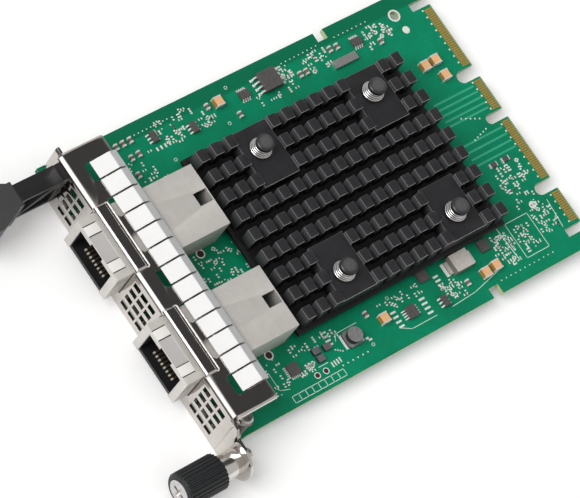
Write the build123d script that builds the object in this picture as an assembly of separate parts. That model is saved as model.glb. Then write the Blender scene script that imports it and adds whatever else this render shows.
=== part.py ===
from build123d import *
import math
import os

os.makedirs("parts", exist_ok=True)

# Small form factor mezzanine network card. Lengths in millimetres.
# It is modelled from the faceplate's front plane (Y = 0) and the board's top side (Z = 0), and moved at the
# end so that the origin lies at the middle of the card edge, on the board's mid-plane.

# Circuit board
board_width = 76.0
board_length = 115.0
board_thickness = 1.57
board_gap = 0.3
key_depth = 6.1
key_slots = ((-12.14, 3.24), (0.07, 2.5), (20.59, 3.08))
end_slot_x = 32.9
end_slot_width = 2.1
end_slot_depth = 5.6
side_notch_setback = 31.5
side_notch_width = 2.9
side_notch_depth = 2.5
tooling_inset = 4.9
tooling_setback = 10.75
tooling_hole_diameter = 2.5
bevel_length = 0.5
bevel_drop = 0.3

# Gold contacts
contact_pitch = 0.6
contact_width = 0.42
contact_length = 2.1
contact_thickness = 0.05
contact_row_x = (-22.72, -5.85, 10.18, 26.78)
contact_counts = (28, 14, 28, 14)

# Sheet metal faceplate
sheet = 0.7
face_inset = 3.0
face_bottom = -4.0
flange_depth = 12.4
flange_gap = 0.3
bend_radius = 1.1
side_lip = 0.8
lip_half_width = 8.75
lip_rise = 0.9
lip_depth = 3.0
vent_width = 2.3
vent_height = 1.7
vent_pitch_x = 2.85
vent_rows = (-1.35, 1.6, 4.6, 7.5)
vent_column_counts = (2, 3, 3)
left_vent_inset = 9.25
middle_vent_x = 1.55
right_vent_inset = 5.55
window_width = 5.0
window_length = 3.4
window_corner = 0.7
window_front = 4.1
ear_radius = 5.6
ear_reach = 6.3
foot_inset = 0.4
foot_y = 8.4
foot_radius = 2.0
foot_hole = 2.2

# Contact finger strip on the flange
strip_thickness = 0.12
strip_gap = 0.05
finger_count = 13
strip_inset = 3.865
finger_slit = 0.45
finger_tip = 5.7
finger_crest_y = 10.8
finger_crest_rise = 1.25

# Ports
port_positions = {"left_port": -12.4, "right_port": 15.5}
port_width = 16.3
port_height = 10.0
port_front = -4.4
port_rear = 28.0
shield_wall = 0.25
inner_gap = 0.05
cavity_width = 11.9
cavity_floor = 0.95
cavity_top = 8.3
cavity_depth = 13.4
latch_width = 4.2
latch_top = 9.35
housing_rear = 12.0
magnetics_rear = 22.8
leg_places = (6.0, 20.0)
leg_width = 1.1
wire_pitch = 1.016
wire_width = 0.45

# Heat sink
sink_x = 0.2
sink_y = 62.55
row_count = 9
row_pitch = 5.4
pin_width = 3.1
column_count = 15
column_pitch = 4.23
pin_length = 2.43
chip_size = 23.0
chip_height = 1.5
pad_thickness = 0.3
base_thickness = 1.2
base_ledge = 1.0
sink_top = 8.4
seat_drop = 1.0
seat_rows = 3
seat_columns = ((2, 5), (10, 13))
seat_overlap = 0.75

# Push pins and their springs
push_span_x = 34.2
push_span_y = 34.3
push_shift_y = 1.75
push_head_diameter = 4.4
push_head_height = 1.3
push_stem_width = 2.2
push_stem_depth = 1.5
push_stem_split = 0.5
push_hole_diameter = 3.0
push_spring_height = 2.6
push_spring_wire = 0.5
push_spring_base = 2.9
push_spring_turns = 4

# Captive thumbscrew
screw_reach = 7.0
screw_z = 1.6
screw_travel = 4.5
thread_diameter = 3.0
neck_diameter = 2.3
neck_gap = 0.1
ferrule_diameter = 6.15
ferrule_length = 6.6
ferrule_bore = 4.6
spigot_diameter = 5.2
knob_diameter = 8.75
knob_rear = -5.5
knob_length = 10.7
knob_bore = 6.8
knob_ribs = 26
rib_depth = 0.3
washer_thickness = 0.4
screw_spring_wire = 0.4
screw_spring_turns = 8
running_gap = 0.15

# Pull tab
tab_overhang = 0.2
tab_width = 4.4
tab_top = 7.0
tab_bottom = -3.5
tab_arm = 11.5
tab_grip_end = 25.0
tab_wall = 1.1
rivet_diameter = 1.6

# Board parts: inset from the nearer long edge of the board, and distance behind the faceplate's front
flash_place = (5.65, 64.06)
driver_place = (6.45, 60.67)
crystal_place = (9.45, 85.1)
square_inductor_place = (11.2, 79.0)
round_inductor_place = (7.8, 43.5)
left_logic_places = ((6.0, 56.4), (6.6, 90.7))
left_transistor_places = ((7.7, 40.05), (5.5, 29.65))
right_transistor_places = ((4.95, 69.95),)
power_places = ((12.0, 87.4), (12.6, 68.5), (7.9, 25.95))
bead_places = ((9.05, 33.4), (7.05, 33.5), (8.75, 36.5))
left_large_capacitors = ((4.95, 49.15),)
right_large_capacitors = ((6.05, 83.55), (6.4, 87.0), (8.1, 53.3))
edge_large_capacitors = ((-18.5, 12.3), (-18.75, 8.9), (-14.35, 9.0))
left_small_capacitors = ((4.7, 46.2), (3.85, 20.0), (3.8, 22.0), (3.75, 24.1), (7.7, 21.8), (7.55, 24.0), (12.0, 20.8),
                         (7.7, 72.5), (7.7, 74.3), (5.4, 83.3), (5.5, 85.4), (9.85, 52.5), (9.1, 96.6))
right_small_capacitors = ((6.1, 78.1), (11.0, 50.0))
edge_resistors = ((10.25, 12.0), (10.25, 8.2))


def block(x0, x1, y0, y1, z0, z1):
    """A box given by its limits."""
    return Pos((x0 + x1) / 2, (y0 + y1) / 2, (z0 + z1) / 2) * Box(x1 - x0, y1 - y0, z1 - z0)


def upright(x, y, diameter, z0, z1):
    """A round bar standing along Z."""
    return Pos(x, y, (z0 + z1) / 2) * Cylinder(diameter / 2, z1 - z0)


def along_y(diameter, y0, y1):
    """A round bar on the thumbscrew's axis, along Y."""
    return Pos(screw_axis[0], (y0 + y1) / 2, screw_axis[1]) * Rot(90, 0, 0) * Cylinder(diameter / 2, y1 - y0)


def side_profile(points, x0, x1):
    """An outline in Y and Z, run along X."""
    return extrude(Plane.YZ * make_face(Polyline(*points, close=True)), amount=x1 - x0).moved(Pos(x0, 0, 0))


def folded_sheet(points, radius, thickness, side=Side.RIGHT):
    """The cross-section of a folded sheet, whose first face follows the points."""
    return make_face(Wire(FilletPolyline(*points, radius=radius).edges()).offset_2d(thickness, side=side).edges())


def plan_plate(points, z0, z1):
    """A flat outline in X and Y, given a height."""
    return extrude(Plane.XY.offset(z0) * make_face(Polyline(*points, close=True)), amount=z1 - z0)


def coil(turns, rise, radius_low, radius_high, wire, steps):
    """A wire wound upwards in straight steps, from the lower radius to the upper one."""
    points = []
    for i in range(turns * steps + 1):
        share = i / (turns * steps)
        radius = radius_low + (radius_high - radius_low) * share
        angle = 2 * math.pi * i / steps
        points.append((radius * math.cos(angle), radius * math.sin(angle), rise * share))
    path = Polyline(*points)
    return sweep(Plane(path @ 0, z_dir=path % 0) * Rectangle(wire, wire), path=path, transition=Transition.RIGHT)


# Heights and depths that follow from the sizes above
flange_under = port_height + flange_gap
flange_top = flange_under + sheet
board_front = sheet + board_gap
board_under = -board_thickness
board_edge = board_width / 2
face_half_width = board_edge - face_inset
finger_pitch = 2 * (face_half_width - strip_inset) / finger_count
window_pitch = 2 * finger_pitch
foot_screw = (face_half_width - foot_inset, foot_y)
screw_axis = (face_half_width + screw_reach, screw_z)
tab_x = (-face_half_width - tab_overhang, -face_half_width - tab_overhang + tab_width)
vent_block_x = (-face_half_width + left_vent_inset, middle_vent_x, face_half_width - right_vent_inset)
tooling_hole = (-board_edge + tooling_inset, board_length - tooling_setback)
side_notch_y = board_length - side_notch_setback
sink_bottom = chip_height + pad_thickness
floor_z = sink_bottom + base_thickness
seat_z = sink_top - seat_drop
row_x = [sink_x + (i - (row_count - 1) / 2) * row_pitch for i in range(row_count)]
column_y = [sink_y + (i - (column_count - 1) / 2) * column_pitch for i in range(column_count)]
push_y = sink_y + push_shift_y
push_points = [(sx, sy) for sx in (-1, 1) for sy in (-1, 1)]
push_places = [(sink_x + sx * push_span_x / 2, push_y + sy * push_span_y / 2) for sx, sy in push_points]
head_z = seat_z + push_spring_height
nodes = {}

# Circuit board with its keyed contact edge
board = block(-board_edge, board_edge, board_front, board_length, board_under, 0)
board += block(-board_edge, -board_edge + 1.6, 0, board_front, board_under, 0)
for key_x, key_width in key_slots:
    key_end = board_length - key_depth + key_width / 2
    board -= block(key_x - key_width / 2, key_x + key_width / 2, key_end, board_length + 1, board_under - 1, 1)
    board -= upright(key_x, key_end, key_width, board_under - 1, 1)
for side in (-1, 1):
    slot_x = side * end_slot_x
    slot_front = board_length - end_slot_depth
    board -= block(slot_x - end_slot_width / 2, slot_x + end_slot_width / 2, slot_front, board_length + 1,
                   board_under - 1, 1)
    notch_x = side * board_edge
    board -= block(notch_x - side_notch_depth, notch_x + side_notch_depth, side_notch_y - side_notch_width / 2,
                   side_notch_y + side_notch_width / 2, board_under - 1, 1)
    board -= upright(side * foot_screw[0], foot_screw[1], foot_hole, board_under - 1, 1)
board -= upright(tooling_hole[0], tooling_hole[1], tooling_hole_diameter, board_under - 1, 1)
for x, y in push_places:
    board -= upright(x, y, push_hole_diameter, board_under - 1, 1)
for port_x in port_positions.values():
    for side in (-1, 1):
        leg_x = port_x + side * (port_width - shield_wall) / 2
        for leg_y in leg_places:
            board -= block(leg_x - 0.4, leg_x + 0.4, leg_y - leg_width / 2 - 0.2, leg_y + leg_width / 2 + 0.2,
                           board_under - 1, 1)
bevel_top = [(board_length - bevel_length, 0), (board_length + 0.1, 0), (board_length + 0.1, -bevel_drop)]
bevel_low = [(y, -board_thickness - z) for y, z in bevel_top]
bevel_half = end_slot_x - end_slot_width / 2
board -= side_profile(bevel_top, -bevel_half, bevel_half)
board -= side_profile(bevel_low, -bevel_half, bevel_half)
nodes["circuit_board"] = board

# Gold contacts on both sides of the card edge
pads = []
pad_rear = board_length - bevel_length - 0.1
for group_x, group_count in zip(contact_row_x, contact_counts):
    for i in range(group_count):
        pad_x = group_x + (i - (group_count - 1) / 2) * contact_pitch
        for z0 in (0, board_under - contact_thickness):
            pads.append(block(pad_x - contact_width / 2, pad_x + contact_width / 2, pad_rear - contact_length, pad_rear,
                              z0, z0 + contact_thickness))
nodes["edge_contacts"] = Compound(children=pads)

# Controller chip under the heat sink, and the pad between them
chip_half = chip_size / 2
chip = block(sink_x - chip_half, sink_x + chip_half, sink_y - chip_half, sink_y + chip_half, 0, chip_height * 0.55)
lid_half = chip_half - 2.5
chip += block(sink_x - lid_half, sink_x + lid_half, sink_y - lid_half, sink_y + lid_half, 0, chip_height)
nodes["controller_chip"] = chip
nodes["thermal_pad"] = block(sink_x - lid_half, sink_x + lid_half, sink_y - lid_half, sink_y + lid_half,
                             chip_height, sink_bottom)

# Heat sink: a ledged base with rows of upright pins, and a raised seat round each push pin
row_half = pin_width / 2
column_half = pin_length / 2
seats = []
for first, last in seat_columns:
    seat_y = (column_y[first] + column_half, column_y[last] - column_half)
    for side in (-1, 1):
        seat_inner = row_x[-seat_rows] - row_half - seat_overlap - sink_x
        seat_outer = row_x[-1] + row_half - sink_x
        seat_x = sorted((sink_x + side * seat_inner, sink_x + side * seat_outer))
        seats.append(block(seat_x[0], seat_x[1], seat_y[0], seat_y[1], floor_z, seat_z))
blocks = []
for i, x in enumerate(row_x):
    for k, y in enumerate(column_y):
        in_seat = any(first < k < last for first, last in seat_columns)
        if in_seat and (i < seat_rows or i >= row_count - seat_rows):
            continue
        blocks.append(block(x - row_half, x + row_half, y - column_half, y + column_half, floor_z, sink_top))
sink = block(row_x[0] - row_half - base_ledge, row_x[-1] + row_half + base_ledge,
             column_y[0] - column_half - base_ledge, column_y[-1] + column_half + base_ledge, sink_bottom, floor_z)
sink += blocks + seats
for x, y in push_places:
    sink -= upright(x, y, push_hole_diameter, sink_bottom - 1, seat_z + 1)
nodes["heat_sink"] = sink

# Push pins: a flat head on a split stem with barbs below the board
barb_z = board_under - 0.15
head_radius = push_head_diameter / 2
head_outline = [
    (0, head_z),
    (head_radius, head_z),
    (head_radius, head_z + push_head_height - 0.35),
    (head_radius - 0.6, head_z + push_head_height),
    (0, head_z + push_head_height),
]
prong_outline = [
    (push_stem_split / 2, barb_z - 1.7),
    (0.8, barb_z - 1.7),
    (push_hole_diameter / 2 + 0.3, barb_z),
    (push_stem_width / 2, barb_z),
    (push_stem_width / 2, head_z),
    (push_stem_split / 2, head_z),
]
push_pin = revolve(Plane.XZ * make_face(Polyline(*head_outline, close=True)), axis=Axis.Z)
prong = extrude(Plane.XZ * make_face(Polyline(*prong_outline, close=True)), amount=push_stem_depth / 2, both=True)
push_pin += [prong, mirror(prong, Plane.YZ)]
push_rise = push_spring_height - push_spring_wire - 0.2
push_wire = coil(push_spring_turns, push_rise, push_spring_base - push_spring_wire / 2,
                 head_radius - push_spring_wire / 4, push_spring_wire, 10)
nodes["push_pins"] = Compound(children=[Pos(x, y, 0) * push_pin for x, y in push_places])
spring_z = seat_z + push_spring_wire / 2 + 0.06
nodes["push_pin_springs"] = Compound(children=[Pos(x, y, spring_z) * push_wire for x, y in push_places])

# Faceplate: folded front and flange, side lips, ear, wing and two feet on the board
fold = folded_sheet(((0, face_bottom), (0, flange_top), (flange_depth, flange_top)), bend_radius, sheet)
plate = extrude(Plane.YZ * fold, amount=2 * face_half_width).moved(Pos(-face_half_width, 0, 0))
lip_edge = face_half_width + side_lip
lip_fold = folded_sheet(
    ((face_half_width - 1, flange_top), (lip_edge, flange_top), (lip_edge, flange_top - 1.5)), side_lip, sheet)
right_lip = extrude(Plane.XZ * lip_fold, amount=-(flange_depth - bend_radius)).moved(Pos(0, bend_radius, 0))
plate += [right_lip, mirror(right_lip, Plane.YZ)]
ear_x = face_half_width + ear_reach
ear_outline = Polyline((face_half_width - 1, face_bottom), (ear_x, face_bottom), (ear_x, face_bottom + 2 * ear_radius),
                       (ear_x - 2.3, face_bottom + 2 * ear_radius), (face_half_width + 2.5, flange_top - 1.8),
                       (face_half_width - 1, flange_top - 1.8), close=True)
ear = make_face(ear_outline) + Pos(ear_x, face_bottom + ear_radius) * Circle(ear_radius)
plate += extrude(Plane.XZ * ear, amount=-sheet)
plate -= along_y(spigot_diameter + 2 * inner_gap, -1, sheet + 1)
crease = ((face_half_width + 1.2, -0.01), (face_half_width + 1.6, -0.01), (face_half_width + 1.4, 0.16))
plate -= plan_plate(crease, face_bottom - 1, flange_top - 1.7)
wing = folded_sheet(((-face_half_width + 1, 0), (-face_half_width, 0), (-face_half_width - 0.9, 1.1),
                     (-face_half_width - 2.4, 1.1)), 0.2, sheet, Side.RIGHT)
plate += extrude(Plane.XY.offset(0.5) * wing, amount=flange_top - 1.0)
for side in (-1, 1):
    foot_x = side * foot_screw[0]
    foot = block(foot_x - foot_radius, foot_x + foot_radius, sheet / 2, foot_screw[1], 0, sheet)
    foot += upright(foot_x, foot_screw[1], 2 * foot_radius, 0, sheet)
    if side > 0:
        flare = ((foot_x, sheet / 2), (board_edge, sheet / 2), (board_edge, 4.4), (board_edge - 0.8, 5.5),
                 (foot_x + foot_radius, 7.6), (foot_x, 7.6))
        foot += plan_plate(flare, 0, sheet)
    plate += foot - upright(foot_x, foot_screw[1], foot_hole, -1, sheet + 1)
for port_x in port_positions.values():
    hood = block(port_x - lip_half_width, port_x + lip_half_width, 0, lip_depth, flange_under, flange_top + lip_rise)
    hood = chamfer(hood.edges().group_by(Axis.Z)[-1], 0.4)
    plate += hood
    plate -= block(port_x - lip_half_width + sheet, port_x + lip_half_width - sheet, -1, lip_depth - sheet,
                   port_height - 0.6, flange_top + lip_rise - sheet)
    port_half = port_width / 2 + flange_gap
    plate -= block(port_x - port_half, port_x + port_half, -1, sheet + 1, -flange_gap, port_height)
for block_x, columns in zip(vent_block_x, vent_column_counts):
    for i in range(columns):
        vent_x = block_x + (i - (columns - 1) / 2) * vent_pitch_x
        for vent_z in vent_rows:
            plate -= block(vent_x - vent_width / 2, vent_x + vent_width / 2, -1, sheet + 0.5,
                           vent_z - vent_height / 2, vent_z + vent_height / 2)
for i in range(-3, 4):
    window = chamfer(Rectangle(window_width, window_length).vertices(), window_corner)
    plate -= Pos(i * window_pitch, window_front + window_length / 2, flange_under - 1) * extrude(window, amount=3)
rivet_places = [((tab_x[0] + tab_x[1]) / 2, z) for z in (2.3, 5.4)]
for x, z in rivet_places:
    plate -= Pos(x, 0, z) * Rot(90, 0, 0) * Cylinder(rivet_diameter / 2 + inner_gap, 4)
nodes["faceplate"] = plate

# Springy contact fingers clipped over the flange's rear edge
strip_rear = flange_depth + 0.6
strip_points = (
    (9.8, flange_under - strip_gap),
    (strip_rear, flange_under - strip_gap),
    (strip_rear + 0.2, flange_top),
    (finger_crest_y, flange_top + finger_crest_rise),
    (finger_tip, flange_top + 0.12),
)
strip_half = finger_count * finger_pitch / 2 - finger_slit / 2
strip = extrude(Plane.YZ * folded_sheet(strip_points, 0.25, strip_thickness), amount=2 * strip_half)
strip = strip.moved(Pos(-strip_half, 0, 0))
for i in range(finger_count - 1):
    slit_x = (i - (finger_count - 2) / 2) * finger_pitch
    strip -= block(slit_x - finger_slit / 2, slit_x + finger_slit / 2, 0, strip_rear, flange_top, flange_top + 5)
nodes["emi_finger_strip"] = strip

# Screws that hold the feet to the board
foot_screws = []
for side in (-1, 1):
    head = upright(side * foot_screw[0], foot_screw[1], 3.4, sheet, sheet + 1.2)
    head = chamfer(head.edges().group_by(Axis.Z)[-1], 0.4)
    head += upright(side * foot_screw[0], foot_screw[1], foot_hole - 2 * inner_gap, board_under, sheet)
    for turn in (0, 90):
        head -= Pos(side * foot_screw[0], foot_screw[1], sheet + 1.0) * Rot(0, 0, turn) * Box(1.9, 0.45, 0.8)
    foot_screws.append(head)
nodes["faceplate_screws"] = Compound(children=foot_screws)

# Pull tab: an open braced arm with a flared grip
tab_mid = (tab_x[0] + tab_x[1]) / 2
tab = block(tab_x[0], tab_x[1], -tab_arm, 0, tab_bottom, tab_top)
brace = [(-tab_wall, tab_bottom + tab_wall), (-tab_wall, tab_top - 2.6), (-tab_arm + 2.2, tab_bottom + tab_wall)]
upper = [(-tab_wall - 1.3, tab_top - tab_wall), (-tab_arm + tab_wall, tab_top - tab_wall),
         (-tab_arm + tab_wall, tab_bottom + 1.6)]
tab -= side_profile(brace, tab_x[0] - 1, tab_x[1] + 1)
tab -= side_profile(upper, tab_x[0] - 1, tab_x[1] + 1)
grip_outline = []
for y, half in ((-tab_arm, 3.15), (-tab_arm - 1.2, 3.15), (-15.5, 4.6), (-19.0, 6.1), (-tab_grip_end, 6.1)):
    grip_outline.append((tab_mid + half, y))
grip = plan_plate(grip_outline + [(2 * tab_mid - x, y) for x, y in reversed(grip_outline)], tab_bottom, tab_top)
grip = fillet(grip.edges().filter_by(Axis.Z).group_by(Axis.Y)[0], 2.0)
tab += grip
for x, z in rivet_places:
    tab -= Pos(x, 0, z) * Rot(90, 0, 0) * Cylinder(rivet_diameter / 2 + inner_gap, 2 * tab_wall)
nodes["pull_tab"] = tab
rivets = []
for x, z in rivet_places:
    rivet = Pos(x, (sheet - tab_wall) / 2, z) * Rot(90, 0, 0) * Cylinder(rivet_diameter / 2, sheet + tab_wall)
    rivet += Pos(x, sheet + 0.25, z) * Rot(90, 0, 0) * Cylinder(rivet_diameter / 2 + 0.6, 0.5)
    rivets.append(rivet)
nodes["pull_tab_rivets"] = Compound(children=rivets)

# Captive thumbscrew: ferrule pressed in the ear, spring, slip washer, screw and ribbed knob
shoulder = -1.0
bore_end = -ferrule_length - screw_travel - washer_thickness - 2 * running_gap
knob_front = knob_rear - knob_length
head_front = knob_front - 0.15
head_rear = knob_front + 0.9
ferrule = along_y(ferrule_diameter, -ferrule_length, 0) + along_y(spigot_diameter, 0, sheet)
ferrule -= along_y(ferrule_bore, -ferrule_length - 1, shoulder)
ferrule -= along_y(neck_diameter + 2 * neck_gap, shoulder - 1, sheet + 1)
nodes["screw_ferrule"] = ferrule

knob_points = []
for i in range(2 * knob_ribs):
    radius = knob_diameter / 2 - rib_depth * (i % 2)
    angle = math.pi * i / knob_ribs
    knob_points.append((radius * math.cos(angle), radius * math.sin(angle)))
knob_blank = extrude(make_face(Polyline(*knob_points, close=True)), amount=knob_length)
knob_limit = Pos(0, 0, knob_length / 2) * Cylinder(knob_diameter / 2, knob_length)
knob_blank &= chamfer(knob_limit.edges().filter_by(GeomType.CIRCLE).sort_by(Axis.Z)[-1], 0.5)
knob = Pos(screw_axis[0], knob_rear, screw_axis[1]) * Rot(90, 0, 0) * knob_blank
knob -= along_y(knob_bore, bore_end, knob_rear + 1)
knob -= along_y(3.7, knob_front - 1, knob_rear)
knob -= along_y(6.1, knob_front - 1, head_rear)
nodes["thumb_knob"] = knob

thread_start = sheet + running_gap
screw = along_y(neck_diameter, bore_end, thread_start) + along_y(3.6, head_rear, bore_end)
screw += chamfer(along_y(thread_diameter, thread_start, 4.0).edges().group_by(Axis.Y)[-1], 0.4)
screw += along_y(6.0, head_front, head_rear)
for turn in (0, 90):
    recess = Pos(screw_axis[0], head_front, screw_axis[1]) * Rot(0, turn, 0) * Box(3.4, 1.2, 0.7)
    screw -= recess
nodes["captive_screw"] = screw

washer_face = bore_end + washer_thickness
washer = along_y(5.6, bore_end, washer_face)
nodes["slip_washer"] = washer - along_y(neck_diameter + 2 * neck_gap, bore_end - 1, washer_face + 1)
spring_length = shoulder - washer_face - screw_spring_wire
spring_radius = (ferrule_bore - screw_spring_wire) / 2 - 0.25
wire = coil(screw_spring_turns, spring_length, spring_radius, spring_radius, screw_spring_wire, 10)
spring_start = shoulder - screw_spring_wire / 2
nodes["screw_spring"] = Pos(screw_axis[0], spring_start, screw_axis[1]) * Rot(90, 0, 0) * wire

# Ports: shield, housing with the plug cavity, eight wires and the magnetics block
for name, port_x in port_positions.items():
    half = port_width / 2
    inside = half - shield_wall
    shield = block(port_x - half, port_x + half, port_front, port_rear, 0, port_height)
    shield -= block(port_x - inside, port_x + inside, port_front + shield_wall, port_rear - shield_wall,
                    -1, port_height - shield_wall)
    front_half = cavity_width / 2 + 0.15
    shield -= block(port_x - front_half, port_x + front_half, port_front - 1, port_front + 1, -1, cavity_top + 0.15)
    shield -= block(port_x - latch_width / 2, port_x + latch_width / 2, port_front - 1, port_front + 1,
                    cavity_top - 1, latch_top + 0.15)
    shield -= block(port_x - 1.65, port_x + 1.65, port_rear - 4.0, port_rear - shield_wall,
                    port_height - 1, port_height + 1)
    for edge in (-half + 2.0, -half + 4.6, half - 4.6, half - 2.0):
        shield -= block(port_x + edge - 0.12, port_x + edge + 0.12, port_front - 1, -0.7,
                        port_height - 0.3, port_height + 1)
    shield -= block(port_x - half + 4.6, port_x + half - 4.6, port_front - 1, -0.7,
                    port_height - 0.12, port_height + 1)
    for side in (-1, 1):
        wall_x = port_x + side * half
        spring_leaf = ((wall_x, -0.6), (wall_x + side * 0.5, -2.0), (wall_x, -3.6), (wall_x - side * 0.2, -2.0))
        shield += plan_plate(spring_leaf, 3.0, 7.0)
        for leg_y in leg_places:
            leg_x = sorted((wall_x, wall_x - side * shield_wall))
            shield += block(leg_x[0], leg_x[1], leg_y - leg_width / 2, leg_y + leg_width / 2, board_under - 0.8, 0.5)
    nodes[name + "_shield"] = shield

    body = inside - inner_gap
    housing = block(port_x - body, port_x + body, port_front + shield_wall + inner_gap, housing_rear,
                    0, port_height - shield_wall - inner_gap)
    cavity_rear = port_front + cavity_depth
    housing -= block(port_x - cavity_width / 2, port_x + cavity_width / 2, port_front - 1, cavity_rear,
                     cavity_floor, cavity_top)
    housing -= block(port_x - latch_width / 2, port_x + latch_width / 2, port_front - 1, 3.0, cavity_top - 1, latch_top)
    nodes[name + "_housing"] = housing

    wires = []
    for i in range(8):
        wire_x = port_x + (i - 3.5) * wire_pitch
        outline = [
            (-2.0, cavity_floor),
            (-1.4, cavity_floor),
            (7.0, cavity_floor + 2.0),
            (cavity_rear, cavity_floor + 2.0),
            (cavity_rear, cavity_floor + 2.3),
            (6.95, cavity_floor + 2.3),
            (-1.6, cavity_floor + 0.3),
            (-2.0, cavity_floor + 0.3),
        ]
        wires.append(side_profile(outline, wire_x - wire_width / 2, wire_x + wire_width / 2))
    nodes[name + "_contacts"] = Compound(children=wires)
    nodes[name + "_magnetics"] = block(port_x - body, port_x + body, housing_rear + inner_gap, magnetics_rear,
                                       0, port_height - shield_wall - inner_gap)


def leaded(x, y, size_x, size_y, height, leads, lead_pitch, lead_reach, along_x=False):
    """A moulded package with gull-wing leads on two sides."""
    package = block(-size_x / 2, size_x / 2, -size_y / 2, size_y / 2, 0.12, height)
    foot_end = size_x / 2 + lead_reach
    for i in range(leads):
        lead_y = (i - (leads - 1) / 2) * lead_pitch
        for side in (-1, 1):
            ends = sorted((side * (size_x / 2 - 0.2), side * (size_x / 2 + lead_reach * 0.5)))
            package += block(ends[0], ends[1], lead_y - 0.2, lead_y + 0.2, height * 0.4, height * 0.4 + 0.2)
            drop = sorted((side * (size_x / 2 + lead_reach * 0.3), side * (size_x / 2 + lead_reach * 0.6)))
            package += block(drop[0], drop[1], lead_y - 0.2, lead_y + 0.2, 0, height * 0.4 + 0.2)
            foot = sorted((side * (size_x / 2 + lead_reach * 0.3), side * foot_end))
            package += block(foot[0], foot[1], lead_y - 0.2, lead_y + 0.2, 0, 0.2)
    return Pos(x, y, 0) * Rot(0, 0, 90 if along_x else 0) * package


def chips(places, size_x, size_y, height):
    """Equal rectangular parts standing on the board."""
    return [Pos(x, y, height / 2) * Box(size_x, size_y, height) for x, y in places]


def from_left(places):
    """Places given by their inset from the board's left edge."""
    return [(-board_edge + inset, y) for inset, y in places]


def from_right(places):
    """Places given by their inset from the board's right edge."""
    return [(board_edge - inset, y) for inset, y in places]


def from_end(places):
    """Places given by their setback from the card edge."""
    return [(x, board_length - setback) for x, setback in places]


# Parts soldered on the board
flash_x, flash_y = from_left([flash_place])[0]
nodes["flash_memory"] = leaded(flash_x, flash_y, 5.0, 5.0, 1.8, 4, 1.27, 1.4, True)
driver_x, driver_y = from_right([driver_place])[0]
nodes["line_driver"] = leaded(driver_x, driver_y, 2.8, 3.0, 1.0, 4, 0.65, 0.9, True)
logic = [leaded(x, y, 1.9, 2.7, 0.95, 4, 0.65, 0.8) for x, y in from_left(left_logic_places)]
nodes["logic_chips"] = Compound(children=logic)
nodes["power_chips"] = Compound(children=chips(from_right(power_places), 2.9, 2.8, 0.9))
transistors = from_left(left_transistor_places) + from_right(right_transistor_places)
transistors = [leaded(x, y, 1.6, 2.7, 1.05, 3, 0.95, 0.7, True) for x, y in transistors]
nodes["transistor_packages"] = Compound(children=transistors)
crystal_x, crystal_y = from_left([crystal_place])[0]
nodes["clock_crystal"] = block(crystal_x - 1.0, crystal_x + 1.0, crystal_y - 3.5, crystal_y + 3.5, 0, 0.9)
square_x, square_y = from_right([square_inductor_place])[0]
square = block(square_x - 2.2, square_x + 2.2, square_y - 2.6, square_y + 2.6, 0.15, 2.2)
square += block(square_x - 1.6, square_x + 1.6, square_y - 3.6, square_y + 3.6, 0, 0.4)
nodes["square_inductor"] = square
round_x, round_y = from_right([round_inductor_place])[0]
foot = block(round_x - 2.1, round_x + 2.1, round_y - 2.1, round_y + 2.1, 0, 0.6)
drum = chamfer(foot.edges().filter_by(Axis.Z), 0.6)
drum += upright(round_x, round_y, 3.3, 0.6, 1.9) + upright(round_x, round_y, 3.8, 1.8, 2.5)
nodes["round_inductor"] = drum
nodes["ferrite_beads"] = Compound(children=chips(from_right(bead_places), 1.6, 2.0, 0.9))
large = from_left(left_large_capacitors) + from_right(right_large_capacitors) + from_end(edge_large_capacitors)
nodes["ceramic_capacitors"] = Compound(children=chips(large, 2.5, 2.3, 1.6))
small = from_left(left_small_capacitors) + from_right(right_small_capacitors)
nodes["small_capacitors"] = Compound(children=chips(small, 1.6, 0.9, 0.8))
nodes["chip_resistors"] = Compound(children=chips(from_end(edge_resistors), 1.2, 2.2, 0.5))

# Moved so that the origin lies at the middle of the card edge
for name, part in nodes.items():
    export_step(part.moved(Pos(0, -board_length, board_thickness / 2)), f"parts/{name}.step")
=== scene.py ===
import bpy
import bmesh
import math
import random
from mathutils import Matrix, Vector


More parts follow.
